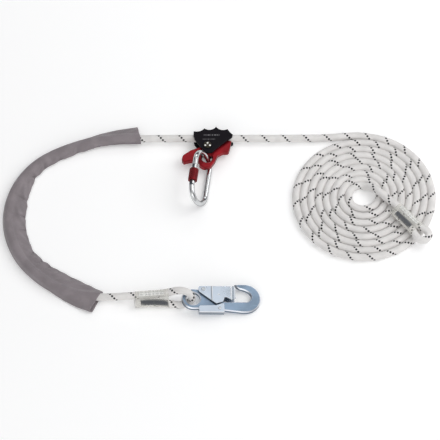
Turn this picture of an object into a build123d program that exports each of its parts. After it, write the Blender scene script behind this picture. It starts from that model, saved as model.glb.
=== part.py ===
from build123d import *
from math import cos, pi, radians, sin, tan
import os

# Rope grab on its work-positioning lanyard, lying on a flat surface at Z = 0, in millimetres.
# The rope runs along X, the carabiner hangs towards -Y, and the origin is under the middle of
# the grab and its carabiner. The grab, carabiner and snap hook are each built flat in a frame
# of their own and then placed by one Location.

# ---- driving dimensions: rope and its sewn ends
ROPE_D = 14.0
ROPE_R = ROPE_D / 2
GRAB_ROPE_Y, GRAB_ROPE_Z = 63.8, 12.4     # the straight stretch that the grab slides on
COIL_X, COIL_Y = 284.8, -56.2
COIL_OUTER_R, COIL_INNER_R = 136.0, 20.0
STRAND_GAP = ROPE_D + 0.2                 # two strands side by side under the stitching
SLEEVE_WALL = 0.4                         # clear shrink sleeve over a sewn end
SLEEVE_GAP = 1.4
SEWN_LENGTH = 60.0
THREAD_THICK = 1.0

# ---- rope protector
PROTECTOR_R = 8.9                         # the bulge that holds the rope
PROTECTOR_FLAP = 27.0                     # rope axis to the middle of the flat inner edge
PROTECTOR_FLAP_R = 2.2
PROTECTOR_DROP = PROTECTOR_R - PROTECTOR_FLAP_R - 0.1
PROTECTOR_WALL = 1.2

# ---- grab: rear cheek's outer face at z = 0, pivot axis at x = y = 0
GRAB_Y = 40.5
GRAB_TILT = 5.5                           # it rests on the crown and on the pivot nut
CROWN_Y = 42.7
CHEEK = 3.0
CHANNEL = 15.0
GRAB_THICK = 2 * CHEEK + CHANNEL
WEB_Y = 29.9
PIVOT_R = 4.0
LEVER_THICK = 10.0
LEVER_LOW = (GRAB_THICK - LEVER_THICK) / 2
LEVER_HOLE = (-1.1, -24.4)
LEVER_HOLE_R = 9.6
BUSH_R = 5.5
NUT_THICK = 3.4
HEAD_THICK = 2.6
CAM_TOP_Y = 14.8                          # cam edge at rest, just clear of the rope

# ---- carabiner: spine on x = 0, gate side on x = -WIDE, top bow at y = 0
ROD_R = 5.0
WIDE = 50.0
BOW_R = WIDE / 2
STRAIGHT = 52.0
CARABINER_AT = (6.0, 20.1, 5.0)
CARABINER_TILT, CARABINER_LEAN = 61.0, -7.5
JUNCTION_Y = -38.0                        # where gate and nose meet
GATE_PIN_Y = -75.0
GATE_PIN_R = 1.5
SCREW_R, SCREW_BORE = 8.5, 5.35
SCREW_TOP, SCREW_LENGTH = -46.4, 25.4
TANG = 5.0                                # thickness of the hinge tang
BLADE = 4.0                               # thickness of the hooked nose blade
LATCH_Y = -41.0
LATCH_R = 1.2

# ---- snap hook: eye centre at the origin, plate middle on z = 0, nose along +x
HOOK_AT = (-26.0, -277.0, 17.6)
HOOK_YAW, HOOK_DIP = 2.9, 6.3
PLATE = 8.0
EYE_R, EYE_WALL = 12.5, 8.0
SHEET = 1.6
PANEL = 0.9                               # the gate's middle stands proud by this much
LEVER_FACE = PLATE / 2 + 0.35             # inner face of the lock lever's cheeks
GATE_FACE = LEVER_FACE + SHEET + 0.35     # inner face of the gate's cheeks
GATE_RIVET = (19.0, 17.3)
LEVER_RIVET = (47.3, -20.3)

GRAB = Pos(0, GRAB_Y, CROWN_Y * sin(radians(GRAB_TILT))) * Rot(-GRAB_TILT, 0, 0)
CARABINER = Pos(*CARABINER_AT) * Rot(0, 0, CARABINER_LEAN) * Rot(0, CARABINER_TILT, 0)
HOOK = Pos(*HOOK_AT) * Rot(0, 0, HOOK_YAW) * Rot(0, HOOK_DIP, 0)

# ---- the rope's route, from its tail at the snap hook to where it joins the coil
LINE_ROUTE = [
    (-131.0, -280.6, 8.9), (-84.0, -276.9, 8.8), (-54.0, -283.0, 7.3),
    (-35.0, -279.0, 7.3), (-27.6, -276.2, 14.5), (-27.6, -273.2, 25.0),
    (-34.6, -269.6, 32.4), (-52.0, -264.6, 32.0), (-76.0, -262.5, 13.8),
    (-137.0, -267.3, 13.8), (-190.0, -268.5, 9.4), (-246.0, -262.0, 9.0),
    (-300.0, -232.0, 9.0), (-344.0, -184.0, 9.0), (-366.0, -118.0, 9.0),
    (-358.0, -50.0, 9.0), (-320.0, 8.0, 9.0), (-262.0, 43.0, 9.6), (-192.0, 63.0, 11.2),
    (-112.0, GRAB_ROPE_Y, GRAB_ROPE_Z), (152.0, GRAB_ROPE_Y, GRAB_ROPE_Z),
    (208.0, 66.4, 9.2), (254.0, 71.6, 7.1),
]

# ---- the coil-side sewn end, in its own frame: x along the strands, y across, z up
END_AT = (361.5, -113.0, 22.9)
END_TURN = -49.2
EYE_LOOP_R = 11.5
EYE_LOOP_X = 43.0
END_ROUTE_START = [(311.0, -44.0, 7.8), (316.5, -62.0, 15.5), (327.5, -79.5, 21.8)]


def corner_radii(points):
    """Largest tangent arc at each corner: 0.45 of the shorter run over tan of half the turn."""
    radii = []
    for before, here, after in zip(points, points[1:], points[2:]):
        run_in, run_out = Vector(*here) - Vector(*before), Vector(*after) - Vector(*here)
        half_turn = radians(run_in.get_angle(run_out)) / 2
        radii.append(0.45 * min(run_in.length, run_out.length) / tan(half_turn))
    return radii


def rope_tube(name, points):
    """A round rope along straight runs joined by tangent arcs."""
    radii = corner_radii(points)
    path = FilletPolyline(*points, radius=radii)
    tube = sweep(Plane(path @ 0, z_dir=path % 0) * Circle(ROPE_R), path)
    expected = pi * ROPE_R**2 * path.length
    print(name, "length", round(path.length), "volume ratio", round(tube.volume / expected, 4))
    print(name, "radii", [round(r, 1) for r in radii])
    return tube


def strand_shell(inner, thick, start, sweep_angle, length):
    """A strip that wraps a strand lying along x, from one angle round to another."""
    outer = inner + thick
    ends = [start, start + sweep_angle / 2, start + sweep_angle]
    ring = [[(r * cos(radians(a)), r * sin(radians(a))) for a in ends] for r in (inner, outer)]
    outline = (
        ThreePointArc(*ring[0])
        + Line(ring[0][2], ring[1][2])
        + ThreePointArc(*ring[1])
        + Line(ring[1][0], ring[0][0])
    )
    return extrude(Plane.YZ * make_face(outline), length / 2, both=True)


def coil_spring(radius, wire, pitch, turns):
    """A helical spring standing on the XY plane."""
    helix = Helix(pitch, pitch * turns, radius)
    return sweep(Plane(helix @ 0, z_dir=helix % 0) * Circle(wire / 2), helix, is_frenet=True)


# ---------------------------------------------------------------- rope and textile parts
def rope_coil():
    """Outer shape of the flat spiral of rope."""
    ring = Cylinder(COIL_OUTER_R, ROPE_D) - Cylinder(COIL_INNER_R, ROPE_D)
    ring = fillet(ring.edges().filter_by(GeomType.CIRCLE), ROPE_R - 1.0)
    return Pos(COIL_X, COIL_Y, ROPE_R) * ring


def end_frame():
    return Pos(*END_AT) * Rot(0, 0, END_TURN)


def end_route():
    """From the coil up over its turns, through the stitching, round the eye and back."""
    half, reach = STRAND_GAP / 2, EYE_LOOP_R / cos(pi / 8)
    local = [(-30.0, half, 0.0), (6.0, half - 0.3, 0.0), (24.0, half + 0.2, 0.0)]
    for step in range(6):
        angle = radians(112.5 - 45.0 * step)
        drop = 0.06 * (step if step < 3 else 5 - step)
        local.append((EYE_LOOP_X + reach * cos(angle), reach * sin(angle), -drop))
    local += [(24.0, -half - 0.2, 0.0), (6.0, -half + 0.3, 0.0), (-22.0, -half, 0.0)]
    placed = [(end_frame() * Pos(*point)).position for point in local]
    return END_ROUTE_START + [tuple(point) for point in placed]


def rope_protector():
    """Flat fabric tube over the curved stretch; the rope lies in its outer edge."""
    route = LINE_ROUTE[10:20]
    path = FilletPolyline(*route, radius=corner_radii(route))
    start = Plane(path @ 0, x_dir=(0, 0, 1), z_dir=path % 0)
    inward = 1 if start.y_dir.Y > 0 else -1

    def profile(inset):
        bulge = Circle(PROTECTOR_R - inset)
        flap = Pos(-PROTECTOR_DROP, inward * PROTECTOR_FLAP) * Circle(PROTECTOR_FLAP_R - inset)
        return start * make_hull((bulge + flap).edges())

    return sweep(profile(0), path) - sweep(profile(PROTECTOR_WALL), path)


def sewn_sleeve():
    """Clear shrink sleeve round two strands that lie side by side along x."""
    height = ROPE_D + 2 * SLEEVE_GAP
    width = height + STRAND_GAP
    inner = SlotOverall(width, height)
    outer = SlotOverall(width + 2 * SLEEVE_WALL, height + 2 * SLEEVE_WALL)
    return extrude(Plane.YZ * (outer - inner), SEWN_LENGTH / 2, both=True)


def sewn_pieces():
    """Sleeve, dense stitching on the tail strand and label on the standing strand."""
    inner = ROPE_R - 0.1
    stitching = Pos(-2, -STRAND_GAP / 2, 0) * strand_shell(inner, THREAD_THICK, 30, 110, 48)
    label = Pos(-3, STRAND_GAP / 2, 0) * strand_shell(inner, 0.5, 45, 95, 46)
    return {"sleeve": sewn_sleeve(), "stitching": stitching, "label": label}


def hook_end_frame():
    """The hook-side strands are rolled a little, standing strand uppermost."""
    return Pos(-105.5, -271.7, 11.35) * Rot(0, 0, 4.5) * Rot(20.2, 0, 0)


# ---------------------------------------------------------------- grab
def cheek_outline():
    """Outline of the grab body, pivot at the origin, crown along the top."""
    crown = (
        ThreePointArc((-25.7, 32.2), (-15.0, 31.9), (-6.2, 38.7))
        + ThreePointArc((-6.2, 38.7), (4.3, 35.2), (15.5, CROWN_Y))
        + ThreePointArc((15.5, CROWN_Y), (26.2, 34.9), (36.6, 37.1))
        + ThreePointArc((36.6, 37.1), (40.6, 30.4), (46.2, 24.4))
    )
    lower = (
        Polyline((46.2, 24.4), (44.6, 18.2), (36.0, 11.0), (12.4, -11.0))
        + ThreePointArc((12.4, -11.0), (3.0, -17.3), (-6.4, -12.4))
        + Polyline((-6.4, -12.4), (-23.6, 12.8), (-25.7, 20.6), (-25.7, 32.2))
    )
    return make_face(crown + lower)


def grab_body():
    """One-piece channel: two cheeks joined by the scalloped web over the rope."""
    block = extrude(cheek_outline(), GRAB_THICK)
    block = chamfer(block.faces().filter_by(Axis.Z).edges(), 0.7)
    ear = chamfer(Cylinder(5.4, CHEEK).edges().filter_by(GeomType.CIRCLE), 0.7)
    block += Pos(41.6, 16.6, CHEEK / 2) * ear
    channel = Pos(0, WEB_Y - 50, GRAB_THICK / 2) * Box(120, 100, CHANNEL)
    open_end = Pos(70, 30, GRAB_THICK / 2) * Box(60, 40, CHANNEL)
    return block - channel - open_end - Cylinder(PIVOT_R + 0.05, 3 * GRAB_THICK)


def pivot_bolt():
    """Shoulder bolt with a domed, staked head outside the front cheek."""
    length = GRAB_THICK + NUT_THICK - 0.4
    shank = Pos(0, 0, GRAB_THICK - length / 2) * Cylinder(PIVOT_R, length)
    head = Pos(0, 0, GRAB_THICK + HEAD_THICK / 2) * Cylinder(7.4, HEAD_THICK)
    head = fillet(head.edges().sort_by(Axis.Z)[-1], 1.9)
    socket = Pos(0, 0, GRAB_THICK + HEAD_THICK) * extrude(RegularPolygon(2.6, 6), -1.8)
    bolt = shank + head - socket
    for angle in (90, 210, 330):
        staked = Rot(0, 0, angle) * Pos(4.3, 0, GRAB_THICK + HEAD_THICK - 0.55)
        bolt += staked * Sphere(1.1)
    return bolt


def pivot_nut():
    """Low round nut with two flats, outside the rear cheek."""
    body = Pos(0, 0, -NUT_THICK / 2) * Cylinder(6.5, NUT_THICK)
    body = chamfer(body.edges().filter_by(GeomType.CIRCLE).sort_by(Axis.Z)[0], 0.6)
    flats = Pos(0, 0, -NUT_THICK / 2) * Box(11.4, 20, NUT_THICK)
    return (body & flats) - Cylinder(PIVOT_R, 4 * NUT_THICK)


def pivot_spacers():
    """Two thin washers that centre the lever between the cheeks."""
    gap = LEVER_LOW - CHEEK
    ring = Cylinder(6.4, gap - 0.2) - Cylinder(PIVOT_R + 0.05, gap)
    low, high = CHEEK + gap / 2 - 0.1, GRAB_THICK - CHEEK - gap / 2 + 0.1
    return Pos(0, 0, low) * ring + Pos(0, 0, high) * ring


def lever_outline():
    """Release arm to the left, eye lobe below, cam arm to the right under the rope."""
    corners = [
        ((-4.0, 12.8), 3), ((-15.5, -1.0), 10), ((-31.0, -7.4), 14), ((-45.2, -18.6), 7),
        ((-47.8, -28.6), 7), ((-43.4, -34.6), 2), ((-32.0, -31.0), 16), ((-15.6, -31.4), 3.5),
        ((-15.0, -41.6), 6), ((-6.0, -47.0), 7), ((6.0, -43.8), 9), ((14.0, -31.4), 14),
        ((18.8, -17.8), 10), ((28.0, -12.2), 6), ((38.4, -12.0), 5), ((41.2, -1.6), 10),
        ((44.2, CAM_TOP_Y), 3), ((9.0, CAM_TOP_Y - 1.4), 10),
    ]
    points, radii = zip(*corners)
    return make_face(FilletPolyline(*points, radius=list(radii), close=True))


def cam_teeth():
    """Shallow grooves across the cam face that grip the rope."""
    groove = Cylinder(1.1, LEVER_THICK * 2)
    spots = [(13.0 + 5.2 * n, CAM_TOP_Y - 0.95 + 0.23 * n) for n in range(6)]
    return [Pos(x, y, LEVER_LOW) * groove for x, y in spots]


def cam_lever():
    """Forged lever: cam, eye for the carabiner and release arm in one piece."""
    lever = Pos(0, 0, LEVER_LOW) * extrude(lever_outline(), LEVER_THICK)
    lever = fillet(lever.faces().filter_by(Axis.Z).edges(), 1.5)
    eye = Pos(*LEVER_HOLE, GRAB_THICK / 2) * Cylinder(LEVER_HOLE_R, LEVER_THICK)
    lever -= eye
    rims = lever.edges().filter_by(GeomType.CIRCLE)
    rims = [e for e in rims if abs(e.radius - LEVER_HOLE_R) < 0.01]
    lever = chamfer(rims, 2.2)
    lever -= Cylinder(BUSH_R, 3 * GRAB_THICK)
    for groove in cam_teeth():
        lever -= groove
    return lever


def cam_bushing():
    """Bronze bush pressed into the lever, running on the pivot bolt."""
    ring = Cylinder(BUSH_R, LEVER_THICK) - Cylinder(PIVOT_R + 0.05, LEVER_THICK)
    return Pos(0, 0, GRAB_THICK / 2) * ring


def cam_spring():
    """Torsion spring round the rear spacer, in the gap between cheek and lever."""
    coil = coil_spring(7.6, 0.9, 1.05, 1.3)
    return Pos(0, 0, CHEEK + 0.55) * coil


# ---------------------------------------------------------------- carabiner
def carabiner_body():
    """Round steel rod bent to a D, with a hooked nose blade and a hinge tang."""
    bottom, middle = -BOW_R - STRAIGHT, (-BOW_R, -BOW_R)
    start = BOW_R * sin(radians(9))
    path = (
        ThreePointArc(
            (-BOW_R - BOW_R * cos(radians(9)), bottom - start),
            (-BOW_R, bottom - BOW_R),
            (0, bottom),
        )
        + Line((0, bottom), (0, -BOW_R))
        + ThreePointArc((0, -BOW_R), (middle[0], 0), (-WIDE, -BOW_R))
        + Line((-WIDE, -BOW_R), (-WIDE, JUNCTION_Y + 0.6))
    )
    rod = sweep(Plane(path @ 0, z_dir=path % 0) * Circle(ROD_R), path)
    blade = Pos(-WIDE, LATCH_Y + 0.8, 0) * Box(7.4, 9.6, BLADE)
    notch = Pos(-WIDE + 2.6, LATCH_Y - 0.2, 0) * Box(8.4, 4.2, 2 * BLADE)
    tang = Pos(-WIDE, GATE_PIN_Y, 0) * Cylinder(4.4, TANG)
    neck = Pos(-WIDE + 0.2, GATE_PIN_Y - 3.6, 0) * Box(8.4, 6.4, TANG)
    pin_hole = Pos(-WIDE, GATE_PIN_Y, 0) * Cylinder(GATE_PIN_R, 4 * ROD_R)
    return rod + (blade - notch) + tang + neck - pin_hole


def carabiner_gate():
    """Straight gate: slotted tip over the nose blade, forked foot over the tang."""
    top, foot = JUNCTION_Y, GATE_PIN_Y
    rod = Pos(-WIDE, (top + foot) / 2, 0) * Rot(90, 0, 0) * Cylinder(ROD_R, top - foot)
    ears = Pos(-WIDE, foot, 0) * Cylinder(ROD_R - 0.2, 2 * ROD_R)
    round_limit = Pos(-WIDE, foot, 0) * Rot(90, 0, 0) * Cylinder(ROD_R, 4 * ROD_R)
    gate = rod + (ears & round_limit)
    tip_slot = Pos(-WIDE, top - 3.9, 0) * Box(4 * ROD_R, 8.6, BLADE + 0.7)
    foot_slot = Pos(-WIDE, foot - 0.2, 0) * Box(4 * ROD_R, 10.4, TANG + 0.7)
    spring_bore = Pos(-WIDE, foot + 12, 0) * Rot(90, 0, 0) * Cylinder(2.3, 16)
    gate = gate - tip_slot - foot_slot - spring_bore
    gate -= Pos(-WIDE, LATCH_Y, 0) * Cylinder(LATCH_R, 4 * ROD_R)
    return gate - Pos(-WIDE, foot, 0) * Cylinder(GATE_PIN_R + 0.05, 4 * ROD_R)


def gate_hinge_pin():
    return Pos(-WIDE, GATE_PIN_Y, 0) * Cylinder(GATE_PIN_R, 2 * ROD_R - 0.6)


def gate_latch_pin():
    return Pos(-WIDE, LATCH_Y, 0) * Cylinder(LATCH_R, 2 * ROD_R - 1.0)


def gate_plunger():
    """Small plunger that rides on the tang and closes the gate."""
    body = Pos(-WIDE, GATE_PIN_Y + 6.4, 0) * Rot(90, 0, 0) * Cylinder(2.1, 2.6)
    return fillet(body.edges().filter_by(GeomType.CIRCLE).sort_by(Axis.Y)[0], 0.6)


def gate_return_spring():
    spring = coil_spring(1.6, 0.6, 1.3, 8)
    return Pos(-WIDE, GATE_PIN_Y + 18.9, 0) * Rot(90, 0, 0) * spring


def screw_sleeve():
    """Knurled locking sleeve, drawn back to the hinge end of its thread."""
    sleeve = Cylinder(SCREW_R, SCREW_LENGTH)
    sleeve = fillet(sleeve.edges().filter_by(GeomType.CIRCLE), 1.8)
    for n in range(18):
        groove = Rot(0, 0, 20 * n) * Pos(SCREW_R + 0.35, 0, 0) * Cylinder(0.95, SCREW_LENGTH - 7)
        sleeve -= groove
    sleeve -= Cylinder(SCREW_BORE, SCREW_LENGTH)
    return Pos(-WIDE, SCREW_TOP - SCREW_LENGTH / 2, 0) * Rot(90, 0, 0) * sleeve


# ---------------------------------------------------------------- snap hook
def hook_outline():
    """Plate outline: eye ring, spine along the bottom, round nose, open throat."""
    outer = EYE_R + EYE_WALL
    bottom = Spline(
        (-3.6, -20.2), (12.0, -20.4), (50.0, -23.0), (78.0, -26.4), (94.0, -27.6),
        tangents=[(1, -0.18), (1, 0)],
    )
    nose = ThreePointArc((94.0, -27.6), (122.8, 1.4), (94.0, 30.4))
    beak = Polyline((94.0, 30.4), (84.0, 30.4), (76.6, 29.6), (79.4, 24.4), (85.4, 20.6))
    throat = Spline(
        (85.4, 20.6), (94.0, 18.0), (102.6, 12.0), (105.2, 3.6), (101.4, -3.6), (91.0, -5.8),
        tangents=[(1, -0.2), (-1, 0)],
    )
    spine = Polyline((91.0, -5.8), (60.0, -5.8), (46.0, -5.8), (36.0, 4.0), (27.4, 17.0))
    shoulder = ThreePointArc((27.4, 17.0), (19.5, 22.6), (11.0, 19.6))
    shoulder += Line((11.0, 19.6), (3.6, 20.2))
    ring = ThreePointArc((3.6, 20.2), (-outer, 0), (-3.6, -20.2))
    return make_face(bottom + nose + beak + throat + spine + shoulder + ring)


def hook_body():
    """Forged plate hook with a round eye for the rope."""
    plate = Pos(0, 0, -PLATE / 2) * extrude(hook_outline(), PLATE)
    plate -= Cylinder(EYE_R, 2 * PLATE)
    plate = chamfer(plate.faces().filter_by(Axis.Z).edges(), 1.7)
    plate -= Pos(*GATE_RIVET, 0) * Cylinder(2.5, 2 * PLATE)
    return plate - Pos(*LEVER_RIVET, 0) * Cylinder(2.2, 2 * PLATE)


def folded_sheet(face, face_z, web_y, side):
    """Two cheeks cut to one outline, joined by a web along y = web_y with round bends."""
    high, depth, length = face_z + SHEET, 80, 200
    stock = Pos(0, web_y - side * depth / 2, 0) * Box(length, depth, 2 * high)
    bends = stock.edges().filter_by(Axis.X).sort_by(lambda edge: -side * edge.center().Y)[:2]
    stock = fillet(bends, SHEET + 0.4)
    stock -= Pos(0, web_y - side * (depth / 2 + SHEET), 0) * Box(length, depth, 2 * face_z)
    return stock & extrude(face, 2 * high, both=True)


def hook_gate():
    """Folded sheet gate; its web closes the throat along the top edge."""
    edge = Polyline(
        (73.8, 24.8), (76.6, 21.6), (76.6, -1.4), (68.2, -4.0), (60.2, 0.8), (56.2, 0.4),
        (54.4, -6.6), (51.6, -8.8), (41.0, -12.0), (12.2, 11.6),
    )
    tail = ThreePointArc((12.2, 11.6), (9.6, 17.6), (12.4, 24.8))
    face = make_face(edge + tail + Line((12.4, 24.8), (73.8, 24.8)))
    gate = folded_sheet(face, GATE_FACE, 24.8, 1)
    panel = Pos(51.0, 2.5, GATE_FACE + SHEET + PANEL / 2 - 0.1) * Box(35, 40, PANEL + 0.2)
    panel = chamfer(panel.edges().filter_by(Axis.Y).sort_by(Axis.Z)[-2:], PANEL - 0.1)
    gate += panel & extrude(face, 2 * GATE_FACE)
    dimple = Pos(46.4, 6.0, GATE_FACE + SHEET + PANEL + 0.5) * Sphere(1.8)
    return gate - dimple - Pos(*GATE_RIVET, 0) * Cylinder(2.55, 4 * GATE_FACE)


def hook_lock_lever():
    """Folded sheet lever under the spine; pressing its free end frees the gate."""
    corners = [
        (9.8, -28.4), (55.4, -28.4), (55.4, -10.6), (51.0, -10.6),
        (41.0, -14.6), (12.0, -15.4), (9.8, -17.6),
    ]
    lever = folded_sheet(make_face(Polyline(*corners, close=True)), LEVER_FACE, -28.4, -1)
    return lever - Pos(*LEVER_RIVET, 0) * Cylinder(2.25, 4 * LEVER_FACE)


def rivet(center, radius, face_z, head_r, head_h):
    """Through rivet with a low domed head at each end."""
    shank = Cylinder(radius, 2 * face_z)
    head = Cylinder(head_r, head_h)
    head = fillet(head.edges().filter_by(GeomType.CIRCLE).sort_by(Axis.Z)[-1], 0.7 * head_h)
    top = Pos(0, 0, face_z + head_h / 2) * head
    return Pos(*center, 0) * (shank + top + Rot(180, 0, 0) * top)


def hook_gate_rivet():
    return rivet(GATE_RIVET, 2.5, GATE_FACE + SHEET + 0.1, 4.0, 1.3)


def hook_lever_rivet():
    return rivet(LEVER_RIVET, 2.2, LEVER_FACE + SHEET + 0.1, 3.2, 1.2)


def hook_gate_spring():
    """Torsion spring round the gate rivet, between plate and upper cheek."""
    return Pos(*GATE_RIVET, PLATE / 2 + 0.6) * coil_spring(3.6, 0.8, 0.95, 1.1)


def hook_lever_spring():
    """Bow-shaped leaf between the spine and the lever's web."""
    thick = 0.5
    lower = ThreePointArc((14.0, -26.6), (24.0, -22.6), (34.0, -26.6))
    upper = ThreePointArc((14.0, -26.6 + thick), (24.0, -22.6 + thick), (34.0, -26.6 + thick))
    sides = Line(lower @ 0, upper @ 0) + Line(lower @ 1, upper @ 1)
    return extrude(make_face(lower + upper + sides), 2.5, both=True)


# ---------------------------------------------------------------- assembly
def parts():
    """Every node's name and its placed shape."""
    nodes = {
        "rope_line": rope_tube("rope_line", LINE_ROUTE),
        "rope_coil": rope_coil(),
        "rope_end": rope_tube("rope_end", end_route()),
        "rope_protector": rope_protector(),
    }
    for piece, shape in sewn_pieces().items():
        nodes["hook_splice_" + piece] = hook_end_frame() * shape
        nodes["end_splice_" + piece] = end_frame() * shape
    grab = {
        "grab_body": grab_body(),
        "pivot_bolt": pivot_bolt(),
        "pivot_nut": pivot_nut(),
        "pivot_spacers": pivot_spacers(),
        "cam_lever": cam_lever(),
        "cam_bushing": cam_bushing(),
        "cam_spring": cam_spring(),
    }
    carabiner = {
        "carabiner_body": carabiner_body(),
        "carabiner_gate": carabiner_gate(),
        "gate_hinge_pin": gate_hinge_pin(),
        "gate_latch_pin": gate_latch_pin(),
        "gate_plunger": gate_plunger(),
        "gate_return_spring": gate_return_spring(),
        "screw_sleeve": screw_sleeve(),
    }
    hook = {
        "hook_body": hook_body(),
        "hook_gate": hook_gate(),
        "hook_gate_rivet": hook_gate_rivet(),
        "hook_gate_spring": hook_gate_spring(),
        "hook_lock_lever": hook_lock_lever(),
        "hook_lever_rivet": hook_lever_rivet(),
        "hook_lever_spring": hook_lever_spring(),
    }
    for frame, group in ((GRAB, grab), (CARABINER, carabiner), (HOOK, hook)):
        for node, shape in group.items():
            nodes[node] = frame * shape
    return nodes


os.makedirs("parts", exist_ok=True)
for node, shape in parts().items():
    export_step(shape, "parts/" + node + ".step")
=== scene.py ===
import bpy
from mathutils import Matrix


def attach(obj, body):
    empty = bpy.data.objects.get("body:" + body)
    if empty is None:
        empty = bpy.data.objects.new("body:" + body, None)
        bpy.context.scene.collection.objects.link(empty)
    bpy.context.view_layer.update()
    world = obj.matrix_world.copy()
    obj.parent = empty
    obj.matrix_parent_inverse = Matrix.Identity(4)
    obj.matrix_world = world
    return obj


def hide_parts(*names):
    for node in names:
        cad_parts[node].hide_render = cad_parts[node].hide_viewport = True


bl_info = {
    "name": "Rope Grab Lanyard",
    "version": (1, 0, 0),
    "blender": (4, 5, 0),
    "location": "3D View > Sidebar > Lanyard",
    "description": "Rope, sewn ends, fabric protector and metal finishes of a rope grab lanyard",
    "category": "Object",
}

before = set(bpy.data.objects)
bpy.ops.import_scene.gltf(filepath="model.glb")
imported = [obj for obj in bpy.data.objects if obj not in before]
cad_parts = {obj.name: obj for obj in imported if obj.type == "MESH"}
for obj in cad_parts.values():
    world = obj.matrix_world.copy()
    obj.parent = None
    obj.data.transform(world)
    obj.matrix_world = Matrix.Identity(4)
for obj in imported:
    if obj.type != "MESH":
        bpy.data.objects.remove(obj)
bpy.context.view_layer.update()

from math import cos, pi, radians, sin

import bpy
import bmesh
import numpy as np
from bpy.props import FloatProperty, FloatVectorProperty, PointerProperty
from mathutils import Matrix, Vector

MM = 0.001
UP = np.array((0.0, 0.0, 1.0))

# ---- the rope's route in metres, from its tail at the snap hook to where it joins the coil
LINE_ROUTE = [
    (-0.1310, -0.2806, 0.0089), (-0.0840, -0.2769, 0.0088), (-0.0540, -0.2830, 0.0073),
    (-0.0350, -0.2790, 0.0073), (-0.0276, -0.2762, 0.0145), (-0.0276, -0.2732, 0.0250),
    (-0.0346, -0.2696, 0.0324), (-0.0520, -0.2646, 0.0320), (-0.0760, -0.2625, 0.0138),
    (-0.1370, -0.2673, 0.0138), (-0.1900, -0.2685, 0.0094), (-0.2460, -0.2620, 0.0090),
    (-0.3000, -0.2320, 0.0090), (-0.3440, -0.1840, 0.0090), (-0.3660, -0.1180, 0.0090),
    (-0.3580, -0.0500, 0.0090), (-0.3200, 0.0080, 0.0090), (-0.2620, 0.0430, 0.0096),
    (-0.1920, 0.0630, 0.0112), (-0.1120, 0.0638, 0.0124), (0.1520, 0.0638, 0.0124),
    (0.2080, 0.0664, 0.0092), (0.2540, 0.0716, 0.0071),
]
PROTECTOR_ENDS = ((-0.1950, -0.2678, 0.0093), (-0.1210, 0.0638, 0.0123))
PROTECTOR_LENGTH = 0.575

# ---- the flat coil: clockwise from its top, each turn one rope inside the last
COIL_CENTRE = (0.2816, -0.0600, 0.0070)
COIL_FIRST_R = 0.1334
COIL_PITCH = 0.0140
COIL_DRIFT = 0.0055
COIL_TURNS = 8.0
POINTS_PER_TURN = 16

# ---- from the inner turn up over the others to the sewn eye
END_CLIMB = [
    (0.2905, -0.0370, 0.0100), (0.2990, -0.0410, 0.0150), (0.3085, -0.0490, 0.0205),
    (0.3190, -0.0605, 0.0225), (0.3310, -0.0730, 0.0225),
]
END_AT = (0.3615, -0.1130, 0.0229)
END_TURN = radians(-49.2)
EYE_LOOP_R, EYE_LOOP_X = 0.0115, 0.0430
STRAND_HALF = 0.0071

# ---- the sewn length at the snap hook
HOOK_END_AT = (-0.1055, -0.2717, 0.01135)
HOOK_END_TURN, HOOK_END_ROLL = radians(4.5), radians(20.2)


# ---------------------------------------------------------------- settings
class RopeSettings(bpy.types.PropertyGroup):
    diameter: FloatProperty(
        name="Diameter", description="Across the sheath", default=0.014, unit="LENGTH")
    length: FloatProperty(
        name="Length", description="Whole rope, both sewn eyes included", default=5.36,
        unit="LENGTH")
    ring_step: FloatProperty(
        name="Braid step", description="Half a braid cell along the rope", default=0.0020,
        unit="LENGTH")
    relief: FloatProperty(
        name="Braid relief", description="Depth between braid cells", default=0.00022,
        unit="LENGTH")
    tracer_pitch: FloatProperty(
        name="Tracer pitch", description="Length of one turn of the dark tracer", default=0.038,
        unit="LENGTH")
    colour: FloatVectorProperty(
        name="Sheath colour", description="Warm white polyamide", default=(0.815, 0.795, 0.780),
        subtype="COLOR")


class ProtectorSettings(bpy.types.PropertyGroup):
    wall: FloatProperty(
        name="Wall", description="Fabric thickness", default=0.0011, unit="LENGTH")
    girth: FloatProperty(
        name="Girth", description="Round the fabric tube before it was slid on", default=0.096,
        unit="LENGTH")
    cut_length: FloatProperty(
        name="Cut length", description="Length of the fabric tube", default=PROTECTOR_LENGTH,
        unit="LENGTH")
    colour: FloatVectorProperty(
        name="Fabric colour", description="Mauve grey woven tube", default=(0.285, 0.252, 0.266),
        subtype="COLOR")


class SewnEndSettings(bpy.types.PropertyGroup):
    sleeve_length: FloatProperty(
        name="Sleeve length", description="Clear sleeve over both strands", default=0.060,
        unit="LENGTH")
    thread: FloatProperty(
        name="Thread", description="Thickness of the sewing thread", default=0.0009, unit="LENGTH")
    thread_colour: FloatVectorProperty(
        name="Thread colour", description="Dark grey thread", default=(0.075, 0.080, 0.090),
        subtype="COLOR")
    label_colour: FloatVectorProperty(
        name="Label colour", description="White foil", default=(0.80, 0.80, 0.78),
        subtype="COLOR")


class MetalSettings(bpy.types.PropertyGroup):
    black: FloatVectorProperty(
        name="Black anodising", description="Grab body", default=(0.0065, 0.005, 0.008),
        subtype="COLOR")
    red: FloatVectorProperty(
        name="Red anodising", description="Lever and screw sleeve", default=(0.27, 0.008, 0.014),
        subtype="COLOR")
    steel: FloatVectorProperty(
        name="Bright steel", description="Carabiner", default=(0.66, 0.67, 0.68),
        subtype="COLOR")
    zinc: FloatVectorProperty(
        name="Blue zinc", description="Snap hook plate", default=(0.27, 0.36, 0.475),
        subtype="COLOR")
    sheet: FloatVectorProperty(
        name="Pressed sheet", description="Snap hook gate and lever", default=(0.62, 0.70, 0.80),
        subtype="COLOR")


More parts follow.
